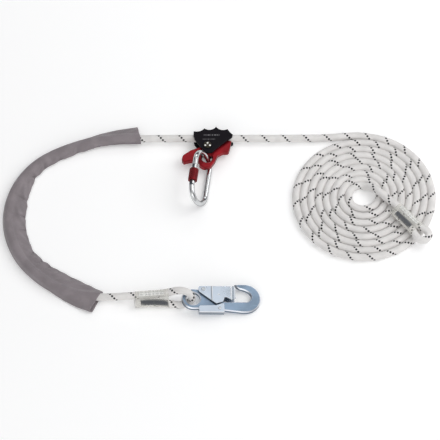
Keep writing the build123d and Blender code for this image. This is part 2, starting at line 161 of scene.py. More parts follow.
class StageSettings(bpy.types.PropertyGroup):
    view_width: FloatProperty(
        name="View width", description="Width of floor in view", default=0.8008, unit="LENGTH")
    elevation: FloatProperty(
        name="Elevation", description="Camera above the horizon", default=radians(60.0),
        subtype="ANGLE")
    floor_colour: FloatVectorProperty(
        name="Floor", description="Plain pale floor", default=(0.97, 0.97, 0.97),
        subtype="COLOR")


SETTINGS = {
    "lanyard_rope": RopeSettings,
    "lanyard_protector": ProtectorSettings,
    "lanyard_sewn": SewnEndSettings,
    "lanyard_metal": MetalSettings,
    "lanyard_stage": StageSettings,
}


# ---------------------------------------------------------------- surfaces
def surface(name, grid, uv=None, capped=True, looped=False):
    """A mesh from rows of closed rings: grid[i, j] is point j of ring i, and the last point of a
    ring joins its first. Capped ends shrink to their middle; looped rows join the last ring to the
    first one."""
    if capped:
        ends = grid[[0, -1]].mean(axis=1, keepdims=True) * np.ones((1, grid.shape[1], 1))
        grid = np.concatenate([ends[:1], grid, ends[1:]])
        if uv is not None:
            uv = np.concatenate([uv[:1], uv, uv[-1:]])
    rows, columns = grid.shape[:2]
    last = rows if looped else rows - 1
    i, j = np.meshgrid(np.arange(last), np.arange(columns), indexing="ij")
    below, beside = (i + 1) % rows, (j + 1) % columns
    near, far = i * columns, below * columns
    faces = np.stack([near + j, near + beside, far + beside, far + j], -1)
    mesh = bpy.data.meshes.new(name)
    mesh.from_pydata(grid.reshape(-1, 3).tolist(), [], faces.reshape(-1, 4).tolist())
    if uv is not None:
        corners = np.stack([uv[i, j], uv[i, j + 1], uv[below, j + 1], uv[below, j]], 2)
        layer = mesh.uv_layers.new(name="along")
        layer.data.foreach_set("uv", corners.astype(np.float32).ravel())
    return finished(name, mesh)


def finished(name, mesh):
    """Merges doubles at the poles, turns the faces outwards, shades smooth and links the object."""
    shape = bmesh.new()
    shape.from_mesh(mesh)
    bmesh.ops.remove_doubles(shape, verts=shape.verts, dist=1e-7)
    bmesh.ops.recalc_face_normals(shape, faces=shape.faces)
    shape.to_mesh(mesh)
    shape.free()
    mesh.shade_smooth()
    piece = bpy.data.objects.new(name, mesh)
    bpy.context.collection.objects.link(piece)
    return piece


def ring_uv(rows_at, columns):
    """UV rows for rings: u runs once round from 0 to 1, v is the given value of each ring."""
    return uv_rows(np.linspace(0, 1, columns + 1), rows_at)


def uv_rows(u, v):
    """UV rows from the u of each column and the v of each ring."""
    return np.stack(np.broadcast_arrays(u[None, :], v[:, None]), -1)


def place(piece, body, material, nodes):
    """Puts a piece on its body, gives it its finish and hides the CAD nodes that it stands for."""
    piece.data.materials.append(material)
    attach(piece, body)
    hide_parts(*nodes)


def unit(vectors):
    """The vectors at length one."""
    return vectors / np.linalg.norm(vectors, axis=-1, keepdims=True)


def arc_lengths(points):
    """Length along the line at each of its points."""
    steps = np.linalg.norm(np.diff(points, axis=0), axis=1)
    return np.concatenate([[0.0], np.cumsum(steps)])


def along(points, at):
    """Points of the line at the given lengths along it."""
    lengths = arc_lengths(points)
    return np.stack([np.interp(at, lengths, points[:, axis]) for axis in range(3)], -1)


def carried_frames(points):
    """Tangent, side and top directions at each point. The side starts level, and at each next
    point it loses only its part along the tangent, so it turns as little as possible."""
    tangents = unit(np.gradient(points, axis=0))
    sides = np.empty_like(points)
    side = np.cross(tangents[0], UP)
    for n, tangent in enumerate(tangents):
        side = side - tangent * (side @ tangent)
        side = side / np.linalg.norm(side)
        sides[n] = side
    return tangents, sides, np.cross(sides, tangents)


# ---------------------------------------------------------------- the rope's centre line
def turn_matrix(turn, roll):
    """A roll about x, then a turn about z."""
    return np.array(Matrix.Rotation(turn, 3, "Z") @ Matrix.Rotation(roll, 3, "X"))


def turned(local, at, turn, roll=0.0):
    """Points of a local frame, x along the strands, set down in the object's frame."""
    return np.asarray(local) @ turn_matrix(turn, roll).T + np.asarray(at)


def coil_points():
    """Spiral: the radius falls by one pitch a turn while the angle runs clockwise from the top,
    and the centre drifts a little up with the square of the turns."""
    turns = np.arange(0, COIL_TURNS + 1e-9, 1 / POINTS_PER_TURN)
    radius, angle = COIL_FIRST_R - COIL_PITCH * turns, pi / 2 - 2 * pi * turns
    drift = COIL_DRIFT * (turns / COIL_TURNS) ** 2
    flat = np.stack([radius * np.cos(angle), radius * np.sin(angle) + drift, 0 * turns], -1)
    return flat + np.array(COIL_CENTRE)


def end_points():
    """The climb over the coil, the first strand, the round eye and the strand that comes back.
    The eye's control points are the corners of an octagon round its circle."""
    half, reach = STRAND_HALF, EYE_LOOP_R / cos(pi / 8)
    pinched, spread = half - 0.0003, half + 0.0002
    local = [(-0.030, half, 0), (0.006, pinched, 0), (0.024, spread, 0)]
    for step in range(6):
        angle = radians(112.5 - 45 * step)
        local.append((EYE_LOOP_X + reach * cos(angle), reach * sin(angle), 0))
    local += [(0.024, -spread, 0), (0.006, -pinched, 0), (-0.022, -half, 0)]
    return np.concatenate([END_CLIMB, turned(local, END_AT, END_TURN)])


def smooth_line(controls):
    """The points of the NURBS line that the control points give."""
    curve = bpy.data.curves.new("route", "CURVE")
    curve.dimensions, curve.resolution_u = "3D", 24
    spline = curve.splines.new("NURBS")
    spline.points.add(len(controls) - 1)
    spline.points.foreach_set("co", np.c_[controls, np.ones(len(controls))].ravel())
    spline.order_u = 3
    spline.use_endpoint_u = True
    holder = bpy.data.objects.new("route", curve)
    bpy.context.collection.objects.link(holder)
    evaluated = holder.evaluated_get(bpy.context.evaluated_depsgraph_get())
    mesh = bpy.data.meshes.new_from_object(evaluated)
    points = np.empty(len(mesh.vertices) * 3)
    mesh.vertices.foreach_get("co", points)
    bpy.data.objects.remove(holder)
    bpy.data.curves.remove(curve)
    bpy.data.meshes.remove(mesh)
    return points.reshape(-1, 3)


def rope_line():
    """The rope's whole centre line as closely spaced points."""
    return smooth_line(np.concatenate([LINE_ROUTE, coil_points(), end_points()]))


def nearest(line, points):
    """Which point of the line lies nearest to each of the given points."""
    return [np.linalg.norm(line - np.asarray(point), axis=1).argmin() for point in points]


def strand(line, at, turn, roll, ends):
    """The stretch of the line between two points, in the local frame of a sewn end."""
    first, last = sorted(nearest(line, ends))
    piece = (line[first:last + 1] - np.asarray(at)) @ turn_matrix(turn, roll)
    return piece[np.argsort(piece[:, 0])]


def sewn_ends():
    """Both sewn lengths: place, turn, roll, the tail strand and the standing strand."""
    line = rope_line()
    last_tail, first_standing, last_standing = turned(
        [(0.036, -STRAND_HALF, 0), (-0.034, STRAND_HALF, 0), (0.036, STRAND_HALF, 0)],
        END_AT, END_TURN)
    ends = []
    for name, at, turn, roll, tail, standing in (
        ("hook", HOOK_END_AT, HOOK_END_TURN, HOOK_END_ROLL,
         (LINE_ROUTE[0], LINE_ROUTE[2]), (LINE_ROUTE[7], LINE_ROUTE[10])),
        ("end", END_AT, END_TURN, 0.0,
         (last_tail, end_points()[-1]), (first_standing, last_standing)),
    ):
        ends.append({
            "name": name, "at": at, "turn": turn, "roll": roll,
            "tail": strand(line, at, turn, roll, tail),
            "standing": strand(line, at, turn, roll, standing),
        })
    return ends


def strand_at(piece, x):
    """Centre of a strand at stations x of the local frame."""
    at, y, z = piece.T
    return np.stack([x, np.interp(x, at, y), np.interp(x, at, z)], -1)


# ---------------------------------------------------------------- material tools
def fill(tree, socket, value):
    """Links the input to a value that is a socket, or writes a plain value into it."""
    if isinstance(value, bpy.types.NodeSocket):
        tree.links.new(value, socket)
    else:
        socket.default_value = value


def new_node(tree, kind, settings=None, **values):
    """A node with its settings. Each keyword fills the input of that name, with underscores for
    its spaces; i0, i1 and so on fill the input of that number."""
    node = tree.nodes.new(kind)
    for key, value in (settings or {}).items():
        setattr(node, key, value)
    for key, value in values.items():
        is_number = key[0] == "i" and key[1:].isdigit()
        fill(tree, node.inputs[int(key[1:]) if is_number else key.replace("_", " ")], value)
    return node


def calc(tree, operation, a, b=0.0, clamp=False):
    """One step of arithmetic on values."""
    settings = {"operation": operation, "use_clamp": clamp}
    return new_node(tree, "ShaderNodeMath", settings, i0=a, i1=b).outputs[0]


def times(tree, a, b):
    """The product of two values."""
    return calc(tree, "MULTIPLY", a, b)


def scaled(tree, value, factor, added):
    """The value times the factor, plus what is added."""
    settings = {"operation": "MULTIPLY_ADD"}
    return new_node(tree, "ShaderNodeMath", settings, i0=value, i1=factor, i2=added).outputs[0]


def one_minus(tree, value):
    """The mask turned over."""
    return calc(tree, "SUBTRACT", 1.0, value)


def gap_to(tree, value, middle):
    """How far a value lies from the middle, without its sign."""
    return calc(tree, "ABSOLUTE", calc(tree, "SUBTRACT", value, middle))


def vector_calc(tree, operation, a, b=(0.0, 0.0, 0.0)):
    """One step of arithmetic on vectors. A length, distance or dot product comes out as a value."""
    node = new_node(tree, "ShaderNodeVectorMath", {"operation": operation}, i0=a, i1=b)
    is_value = operation in ("LENGTH", "DISTANCE", "DOT_PRODUCT")
    return node.outputs["Value" if is_value else "Vector"]


def axes_of(tree, vector):
    """The vector's X, Y and Z."""
    return new_node(tree, "ShaderNodeSeparateXYZ", i0=vector).outputs


def noise(tree, detail, dimensions="3D", **inputs):
    """Smooth noise from 0 to 1."""
    settings = {"noise_dimensions": dimensions}
    return new_node(tree, "ShaderNodeTexNoise", settings, Detail=detail, **inputs).outputs["Fac"]


def mixed(tree, factor, a, b):
    """Colour a where the factor is 0 and b where it is 1."""
    settings = {"data_type": "RGBA"}
    return new_node(tree, "ShaderNodeMix", settings, i0=factor, i6=a, i7=b).outputs[2]


def ramp(tree, value, low, high):
    """0 below low, 1 above high, smooth in between."""
    return new_node(
        tree, "ShaderNodeMapRange", {"interpolation_type": "SMOOTHSTEP"},
        Value=value, From_Min=low, From_Max=high).outputs["Result"]


def rgba(colour, scale=1.0):
    """The colour made lighter or darker, with an alpha of 1."""
    return tuple(min(1.0, c * scale) for c in colour) + (1.0,)


def object_space(tree):
    """Coordinates of the piece's own space, in metres."""
    return new_node(tree, "ShaderNodeTexCoord").outputs["Object"]


def uv_space(tree):
    """The UV map that every new surface carries."""
    return new_node(tree, "ShaderNodeUVMap", {"uv_map": "along"}).outputs["UV"]


def bumped(tree, height, distance):
    """Normals turned by a height from 0 to 1, worth the distance in metres."""
    return new_node(tree, "ShaderNodeBump", Height=height, Distance=distance).outputs["Normal"]


def new_material(name):
    """An empty node material with its Principled shader, and the tree it lies in."""
    material = bpy.data.materials.new(name)
    material.use_nodes = True
    tree = material.node_tree
    tree.nodes.clear()
    shader = tree.nodes.new("ShaderNodeBsdfPrincipled")
    output = tree.nodes.new("ShaderNodeOutputMaterial")
    tree.links.new(shader.outputs[0], output.inputs["Surface"])
    return material, tree, shader


def set_inputs(tree, shader, **values):
    """Fills the shader's inputs of those names, with underscores for their spaces."""
    for key, value in values.items():
        fill(tree, shader.inputs[key.replace("_", " ")], value)


# ---------------------------------------------------------------- shared effects
def group(name, inputs, outputs, build):
    """A shader node group, built once: build(tree, inputs) returns its output sockets."""
    if name in bpy.data.node_groups:
        return bpy.data.node_groups[name]
    tree = bpy.data.node_groups.new(name, "ShaderNodeTree")
    for label, kind, default in inputs:
        socket = tree.interface.new_socket(label, in_out="INPUT", socket_type=kind)
        if default is not None:
            socket.default_value = default
    for label in outputs:
        tree.interface.new_socket(label, in_out="OUTPUT", socket_type="NodeSocketFloat")
    source = tree.nodes.new("NodeGroupInput")
    target = tree.nodes.new("NodeGroupOutput")
    results = build(tree, {s.name: s for s in source.outputs})
    for label, result in results.items():
        tree.links.new(result, target.inputs[label])
    return tree


def placed_group(tree, group_tree, **values):
    """The outputs of a shared effect, placed in a material with its own values."""
    return new_node(tree, "ShaderNodeGroup", {"node_tree": group_tree}, **values).outputs


def grain_group():
    """Fine grain, broad clouds and sparse short scuffs in object space, each from 0 to 1."""
    cloud_scale = 0.06

    def build(tree, given):
        at, scale = given["Vector"], given["Scale"]
        stretched = vector_calc(tree, "MULTIPLY", at, given["Stretch"])
        clouds = noise(tree, 3.0, Vector=at, Scale=times(tree, scale, cloud_scale))
        scuffs = noise(tree, 2.0, Vector=stretched, Scale=scale)
        return {
            "Grain": noise(tree, 4.0, Vector=at, Scale=scale),
            "Cloud": ramp(tree, clouds, 0.35, 0.68),
            "Scuffs": ramp(tree, scuffs, 0.60, 0.74),
        }
    return group(
        "Grain and Scuffs",
        [("Vector", "NodeSocketVector", None), ("Scale", "NodeSocketFloat", 400.0),
         ("Stretch", "NodeSocketVector", (1.0, 0.12, 0.3))],
        ["Grain", "Cloud", "Scuffs"], build)


def grain_on(tree, scale, stretch=(1.0, 1.0, 1.0)):
    """Grain, clouds and scuffs on the piece, at so many to the metre; the axis with the least
    stretch is the one that the scuffs run along."""
    return placed_group(
        tree, grain_group(), Vector=object_space(tree), Scale=scale, Stretch=stretch)


def weave_group():
    """Over-and-under threads on a UV map: the height of warp and weft, and which one is on top."""
    def build(tree, given):
        axes = axes_of(tree, given["Vector"])
        warp, weft = (
            calc(tree, "SINE", times(tree, times(tree, axis, given[threads]), pi))
            for axis, threads in ((axes[0], "Threads Across"), (axes[1], "Threads Along")))
        over = times(tree, warp, weft)
        return {"Height": calc(tree, "ABSOLUTE", over), "Over": scaled(tree, over, 0.5, 0.5)}
    return group(
        "Weave",
        [("Vector", "NodeSocketVector", None), ("Threads Across", "NodeSocketFloat", 24.0),
         ("Threads Along", "NodeSocketFloat", 24.0)],
        ["Height", "Over"], build)


def edge_group():
    """0 on faces, 1 along convex and concave edges, from how far a rounded normal turns: the mask
    for edge wear and for painted light along edges.
    """
    def build(tree, given):
        rounded = new_node(tree, "ShaderNodeBevel", {"samples": 4}, Radius=given["Radius"])
        flat = new_node(tree, "ShaderNodeNewGeometry").outputs["Normal"]
        turned_by = one_minus(tree, vector_calc(tree, "DOT_PRODUCT", rounded.outputs[0], flat))
        return {"Edge": ramp(tree, turned_by, 0.01, 0.12)}
    return group("Edge Wear and Painted Light", [("Radius", "NodeSocketFloat", 0.001)], ["Edge"], build)


# ---------------------------------------------------------------- marks on the metals
# the front cheek's plane, and its rows of print: middle and half length across the cheek, middle
# and half height, strokes to the metre
CHEEK_NORMAL, CHEEK_DISTANCE = (0.0, 0.0958, 0.9954), 0.0288
PRINT_ROWS = (
    (0.0075, 0.0145, 0.0652, 0.0014, 520.0),
    (0.0025, 0.0112, 0.0558, 0.0008, 700.0),
)
PRINT_STRENGTH, PRINT_COLOUR = 0.4, (0.42, 0.41, 0.43, 1.0)

# painted highlight lines and painted shade lines across the gate: place from left to right, half
# width, whether it is a painted shade line rather than a painted highlight
BEND_LINES = (
    (0.0070, 0.0009, True), (0.0088, 0.0009, False), (0.0434, 0.0009, False),
    (0.0462, 0.0013, True), (0.0488, 0.0007, False),
)
BEND_STRENGTH = 0.75
# colours of the painted highlight lines and of the painted shade lines
BEND_HIGHLIGHT, BEND_SHADE = (0.97, 0.98, 1.0, 1.0), (0.27, 0.31, 0.36, 1.0)

# the three stakes in the pivot's head, and where the bright spot round each one ends; the spots
# are staked metal and painted highlights both
STAKES = ((0.0, 0.0455, 0.0268), (-0.0042, 0.0404, 0.0272), (0.0042, 0.0404, 0.0272))
STAKE_R = (0.0015, 0.0021)
STAKE_HIGHLIGHT = (0.95, 0.94, 0.90, 1.0)


def print_marks(tree):
    """Two rows of short plain strokes on the front cheek, as faint grey print."""
    at = object_space(tree)
    axes = axes_of(tree, at)
    depth = vector_calc(tree, "DOT_PRODUCT", at, CHEEK_NORMAL)
    on_face = calc(tree, "GREATER_THAN", depth, CHEEK_DISTANCE)
    rows = []
    for middle_x, half_x, middle_y, half_y, scale in PRINT_ROWS:
        long_way = calc(tree, "LESS_THAN", gap_to(tree, axes[0], middle_x), half_x)
        short_way = calc(tree, "LESS_THAN", gap_to(tree, axes[1], middle_y), half_y)
        inked = ramp(tree, noise(tree, 0.0, "1D", W=axes[0], Scale=scale), 0.46, 0.52)
        rows.append(times(tree, times(tree, long_way, short_way), inked))
    both = calc(tree, "ADD", rows[0], rows[1], clamp=True)
    return times(tree, times(tree, both, on_face), PRINT_STRENGTH), PRINT_COLOUR


def bend_highlight_and_shade(tree):
    """Painted highlight lines and painted shade lines across the gate, where its middle is pressed
    up.
    """
    across = axes_of(tree, object_space(tree))["X"]
    bright, dark = 0.0, 0.0
    for middle, half, is_dark in BEND_LINES:
        line = one_minus(tree, ramp(tree, gap_to(tree, across, middle), 0.6 * half, 1.1 * half))
        if is_dark:
            dark = calc(tree, "MAXIMUM", line, dark)
        else:
            bright = calc(tree, "MAXIMUM", line, bright)
    either = calc(tree, "MAXIMUM", bright, dark)
    return times(tree, either, BEND_STRENGTH), mixed(tree, dark, BEND_HIGHLIGHT, BEND_SHADE)


def staked_highlights(tree):
    """Bright spots where the pivot's head is staked in three places: staked metal and painted
    highlights both.
    """
    spots = 0.0
    for point in STAKES:
        gap = vector_calc(tree, "DISTANCE", object_space(tree), point)
        spots = calc(tree, "MAXIMUM", one_minus(tree, ramp(tree, gap, *STAKE_R)), spots)
    return spots, STAKE_HIGHLIGHT


# ---------------------------------------------------------------- materials
# how upright a face is, from 0 lying flat to 1 standing: where the painted highlight on bevels
# begins and where the painted shade on walls does
BEVEL_FROM, WALL_FROM = (0.04, 0.16), (0.55, 0.85)
# strength of the painted highlight on bevels, and the tone of the painted shade on upright walls
BEVEL_HIGHLIGHT, WALL_SHADE_TONE = 0.85, 0.32
# grazing views where the painted dark reflection sets in, and its colour
RIM_FROM, RIM_SHADE_COLOUR = (0.42, 0.85), (0.03, 0.03, 0.035, 1.0)
SCUFF_TONE = 1.6


def metal(
        name, colour, roughness, scale, stretch, metallic=1.0, gloss=0.5, spread=0.12, dull=0.5,
        bump=0.00002, edge=0.35, reach=0.0009, wear_and_shading_to=None, wall_shade=0.0, grazing_shade=0.0, marks=None):
    """Metal whose tone drifts by spread, in clouds, with scuffs made paler and duller by dull, and
    edges within reach turned to the edge colour, or brighter: partly wear, partly a painted
    highlight, and painted shade where that colour is dark. walls adds painted shade on upright
    sides and a painted highlight on the bevels between them and the flat faces, marks adds a mask
    and its colour on top, and rim paints a dark reflection on grazing views."""
    material, tree, shader = new_material(name)
    grain = grain_on(tree, scale, stretch)
    # the edge colour: by default paler than the metal, for worn metal and a painted highlight both
    if wear_and_shading_to is None:
        lift, gain = (0.5, 0.45) if max(colour) > 0.3 else (0.06, 1.3)
        wear_and_shading_to = tuple(lift + gain * c for c in colour)
    base = mixed(tree, grain["Cloud"], rgba(colour, 1 - spread), rgba(colour, 1 + spread))
    scuffed = times(tree, grain["Scuffs"], dull * 0.5)
    base = mixed(tree, scuffed, base, rgba(colour, SCUFF_TONE))
    # edges turn to the edge colour in patches: partly wear, partly a painted highlight; where the
    # edge colour is dark, painted shade
    edge_wear_and_shading = placed_group(tree, edge_group(), Radius=reach)["Edge"]
    patchy = times(tree, edge_wear_and_shading, scaled(tree, grain["Cloud"], edge * 0.6, edge * 0.7))
    base = mixed(tree, patchy, base, rgba(wear_and_shading_to))
    # painted shade on upright sides, and a painted highlight on the bevels between them and the
    # flat faces
    if wall_shade:
        normal = new_node(tree, "ShaderNodeTexCoord").outputs["Normal"]
        upright = one_minus(tree, calc(tree, "ABSOLUTE", axes_of(tree, normal)["Z"]))
        side = ramp(tree, upright, *WALL_FROM)
        bevel = calc(tree, "SUBTRACT", ramp(tree, upright, *BEVEL_FROM), side)
        base = mixed(tree, times(tree, side, wall_shade), base, rgba(colour, WALL_SHADE_TONE))
        base = mixed(tree, times(tree, bevel, BEVEL_HIGHLIGHT), base, rgba(wear_and_shading_to))
    if marks:
        mask, paint = marks(tree)
        base = mixed(tree, mask, base, paint)
    # a painted dark reflection where the surface is seen at a grazing angle
    if grazing_shade:
        facing = new_node(tree, "ShaderNodeLayerWeight", Blend=0.5).outputs["Facing"]
        base = mixed(tree, times(tree, ramp(tree, facing, *RIM_FROM), grazing_shade), base, RIM_SHADE_COLOUR)
    scuffed_gloss = scaled(tree, grain["Scuffs"], roughness * dull, roughness)
    cloudy_gloss = times(tree, grain["Cloud"], roughness * 0.35)
    set_inputs(
        tree, shader, Base_Color=base, Metallic=metallic, Specular_IOR_Level=gloss,
        Roughness=calc(tree, "ADD", scuffed_gloss, cloudy_gloss, clamp=True),
        Normal=bumped(tree, grain["Grain"], bump))
    return material


# the tracer: dots to each turn, how their rows slant, the room of one turn round and of one dot
# along in millimetres, and where a dot's edge fades
DOTS_PER_TURN, DOT_SLANT = 10.0, 0.574
ROUND_MM, ALONG_MM, DOT_R_MM = 28.8, 5.8, (1.85, 2.15)
TRACER_COLOUR = (0.006, 0.006, 0.009, 1.0)


def fraction(tree, value, whole):
    """The value's fraction, after a whole number or a half is added to keep it above 0."""
    return calc(tree, "FRACT", calc(tree, "ADD", value, whole))


def rope_material(settings):
    """Braided sheath: two crossing sets of strands, one strand of round dark dots winding round."""
    material, tree, shader = new_material("Braided Rope")
    uv = uv_space(tree)
    around, pitches = axes_of(tree, uv)[:2]
    winding = calc(tree, "ADD", around, pitches)
    offset = calc(tree, "SUBTRACT", fraction(tree, winding, 100.5), 0.5)
    # the nearest dot: its number runs along the strand, both gaps to its middle are in millimetres
    slanted = calc(tree, "SUBTRACT", pitches, times(tree, offset, DOT_SLANT))
    number = times(tree, slanted, DOTS_PER_TURN)
    past = calc(tree, "SUBTRACT", fraction(tree, number, 100.0), 0.5)
    gap_round, gap_along = times(tree, offset, ROUND_MM), times(tree, past, ALONG_MM)
    gap = new_node(tree, "ShaderNodeCombineXYZ", X=gap_round, Y=gap_along).outputs[0]
    from_dot = vector_calc(tree, "LENGTH", gap)
    tracer = one_minus(tree, ramp(tree, from_dot, *DOT_R_MM))
    weave = placed_group(tree, weave_group(), Vector=uv, Threads_Across=24.0, Threads_Along=19.0)
    grain = grain_on(tree, 900.0)
    shade = times(tree, calc(tree, "ADD", weave["Height"], grain["Cloud"]), 0.5)
    sheath = mixed(tree, shade, rgba(settings.colour, 0.90), rgba(settings.colour, 1.07))
    height = calc(tree, "ADD", weave["Height"], times(tree, grain["Grain"], 0.5))
    set_inputs(
        tree, shader, Base_Color=mixed(tree, tracer, sheath, TRACER_COLOUR), Roughness=0.82,
        Sheen_Weight=0.25, Sheen_Roughness=0.5, Specular_IOR_Level=0.3,
        Normal=bumped(tree, height, 0.00018))
    return material


def protector_material(settings):
    """Matt plain-woven fabric with a little cloudy wear."""
    material, tree, shader = new_material("Protector Fabric")
    weave = placed_group(
        tree, weave_group(), Vector=uv_space(tree), Threads_Across=110.0, Threads_Along=640.0)
    grain = grain_on(tree, 700.0)
    tone = scaled(tree, weave["Over"], 0.35, times(tree, grain["Cloud"], 0.55))
    colour = mixed(tree, tone, rgba(settings.colour, 0.86), rgba(settings.colour, 1.16))
    height = calc(tree, "ADD", weave["Height"], times(tree, grain["Grain"], 0.4))
    set_inputs(
        tree, shader, Base_Color=colour, Roughness=0.9, Sheen_Weight=0.3, Sheen_Roughness=0.4,
        Specular_IOR_Level=0.25, Normal=bumped(tree, height, 0.00025))
    return material


def sleeve_material():
    """Clear shrink plastic, faintly yellow, hazy in patches."""
    material, tree, shader = new_material("Clear Sleeve")
    grain = grain_on(tree, 260.0)
    tint = mixed(tree, grain["Cloud"], (0.80, 0.79, 0.72, 1.0), (0.88, 0.87, 0.82, 1.0))
    set_inputs(
        tree, shader, Base_Color=tint, Alpha=scaled(tree, grain["Cloud"], 0.10, 0.16),
        Roughness=0.22, Specular_IOR_Level=0.6, Normal=bumped(tree, grain["Grain"], 0.00012))
    return material


def thread_material(settings):
    """Dark waxed thread with a twist along it."""
    material, tree, shader = new_material("Sewing Thread")
    twist = grain_on(tree, 1500.0)["Grain"]
    dark, light = rgba(settings.thread_colour, 0.6), rgba(settings.thread_colour, 1.6)
    set_inputs(
        tree, shader, Base_Color=mixed(tree, twist, dark, light), Roughness=0.7, Sheen_Weight=0.2,
        Normal=bumped(tree, twist, 0.0001))
    return material


# rows of print to one radian round the strand, the share of a row left blank, and the ink
LABEL_ROWS, LABEL_BLANK = 1.9, 0.76
INK_STRENGTH, INK_COLOUR = 0.75, (0.22, 0.23, 0.25, 1.0)


def label_material(settings):
    """White foil with rows of plain grey dashes, worn thin in patches."""
    material, tree, shader = new_material("Printed Label")
    uv = uv_space(tree)
    row = calc(tree, "FRACT", times(tree, axes_of(tree, uv)[0], LABEL_ROWS))
    in_row = calc(tree, "GREATER_THAN", row, LABEL_BLANK)
    strokes = ramp(tree, noise(tree, 0.0, "2D", Vector=uv, Scale=7.0), 0.42, 0.46)
    dashes = times(tree, in_row, strokes)
    grain = grain_on(tree, 500.0)
    thin, full = rgba(settings.label_colour, 0.93), rgba(settings.label_colour, 1.05)
    paper = mixed(tree, grain["Cloud"], thin, full)
    set_inputs(
        tree, shader, Base_Color=mixed(tree, times(tree, dashes, INK_STRENGTH), paper, INK_COLOUR),
        Roughness=0.5, Normal=bumped(tree, grain["Grain"], 0.00004))
    return material


# ---------------------------------------------------------------- operators
class LANYARD_OT_rope(bpy.types.Operator):
    """Lay the rope: line, coil and both eyes in one piece"""
    bl_idname = "lanyard.rope"
    bl_label = "Rope"

    def execute(self, context):
        settings = context.scene.lanyard_rope
        line = rope_line()
        total = arc_lengths(line)[-1]
        rings, columns = int(total / settings.ring_step), 24
        at = np.linspace(0, total, rings)
        centre = along(line, at)
        side, top = carried_frames(centre)[1:]
        # the radius is less by the relief at every second point of a checkerboard, so each braid
        # cell stands proud
        i, j = np.meshgrid(np.arange(rings), np.arange(columns), indexing="ij")
        radius = settings.diameter / 2 - settings.relief * ((i + j) % 2)
        angle = 2 * pi * j / columns
        offset = side[:, None] * np.cos(angle)[..., None] + top[:, None] * np.sin(angle)[..., None]
        grid = centre[:, None] + radius[..., None] * offset
        rope = surface("rope", grid, ring_uv(at / settings.tracer_pitch, columns))
        place(rope, "rope", rope_material(settings), ("rope_line", "rope_coil", "rope_end"))
        return {"FINISHED"}


class LANYARD_OT_protector(bpy.types.Operator):
    """Pull the woven protector over the curved stretch of rope"""
    bl_idname = "lanyard.protector"
    bl_label = "Protector"

    def execute(self, context):
        settings = context.scene.lanyard_protector
        line = rope_line()
        first, last = nearest(line, PROTECTOR_ENDS)
        lengths = arc_lengths(line)
        rings, columns = 280, 48
        at = np.linspace(lengths[first], lengths[last], rings)
        centre = along(line, at)
        tangent = unit(np.gradient(centre, axis=0) * (1, 1, 0))
        inward = np.cross(tangent, UP)
        share = np.linspace(0, 1, rings)
        on_floor = centre[:, None] * (1, 1, 0)
        grid = on_floor + protector_section(share, columns, centre[:, 2], inward, tangent)
        tube = surface("protector_fabric", grid, ring_uv(share, 2 * columns), capped=False)
        wall = tube.modifiers.new("wall", "SOLIDIFY")
        wall.thickness, wall.offset, wall.use_even_offset = settings.wall, -1, False
        place(tube, "rope", protector_material(settings), ("rope_protector",))
        return {"FINISHED"}


# share of the length from the snap hook's end, outer reach, inner reach, lift of the outer and
# inner edge, all in millimetres but the share
PROTECTOR_SHAPE = np.array([
    (0.00, 29.5, 12.5, 5.0, 3.0), (0.05, 23.0, 25.0, 2.0, 1.0), (0.10, 15.0, 33.0, 0.5, 0.5),
    (0.15, 10.0, 34.5, 0.5, 0.5), (0.22, 9.4, 33.0, 0.5, 0.5), (0.31, 9.4, 29.0, 0.5, 0.5),
    (0.40, 9.4, 31.0, 0.5, 0.5), (0.50, 9.4, 31.0, 0.5, 1.0), (0.57, 9.4, 24.0, 0.5, 1.5),
    (0.63, 9.4, 17.0, 0.5, 2.0), (0.70, 9.4, 14.0, 0.5, 2.5), (0.78, 9.4, 13.5, 0.5, 2.5),
    (0.85, 15.5, 10.8, 1.0, 6.5), (0.91, 21.5, 8.8, 2.0, 9.5), (1.00, 28.5, 7.8, 5.0, 12.0),
])

# notches of the inner edge: share of the length, depth, width along the tube
NOTCHES = [
    (0.115, 0.0016, 0.006), (0.205, 0.0028, 0.005), (0.245, 0.0036, 0.005),
    (0.295, 0.0030, 0.006), (0.395, 0.0012, 0.004), (0.455, 0.0012, 0.004),
    (0.525, 0.0022, 0.005), (0.625, 0.0048, 0.006), (0.675, 0.0040, 0.006),
    (0.735, 0.0034, 0.006), (0.795, 0.0036, 0.006), (0.865, 0.0024, 0.007),
    (0.93, 0.0012, 0.008),
]

# folds across the inner half: share of the length, depth, width along the tube, slant, and the
# share of the way to the inner edge where the fold is full
CREASES = [
    (0.115, 0.00190, 0.0045, 0.5, 0.9), (0.205, 0.00266, 0.0040, 0.5, 0.8),
    (0.245, 0.00304, 0.0040, 0.2, 0.9), (0.295, 0.00266, 0.0040, -0.3, 0.8),
    (0.395, 0.00323, 0.0019, 0.02, 0.75), (0.455, 0.00323, 0.0019, -0.02, 0.85),
    (0.525, 0.00323, 0.0020, 0.05, 0.7), (0.625, 0.00646, 0.0034, -0.5, 1.0),
    (0.675, 0.00456, 0.0034, 0.3, 0.9), (0.735, 0.00342, 0.0038, -0.5, 0.9),
    (0.795, 0.00380, 0.0038, 0.4, 0.9), (0.865, 0.00266, 0.0050, -0.4, 0.8),
]

# heights of the edges, and of the cloth over and under the rope
EDGE_HEIGHT, OVER_ROPE_R, OVER_ROPE_EASE, UNDER_ROPE = 2.4 * MM, 8.5 * MM, 0.6 * MM, 1.3 * MM
LEAST_HEIGHT = 0.6 * MM
# the inner edge: what is added to its reach, its least reach, depth and wave number of its ripple
INNER_EASE, INNER_LEAST, RIPPLE, RIPPLE_WAVES = 1.2 * MM, 9.2 * MM, 0.3 * MM, 310
# how far out from the rope the flap begins, how much wider it grows before it sags in full, and
# by how much it swells near the edge and sags near the rope
FLAP_FROM, SAG_FROM, SAG_GROWS, FLAP_SWELL, FLAP_SAG = 8 * MM, 10 * MM, 20 * MM, 2.4 * MM, 2.6 * MM
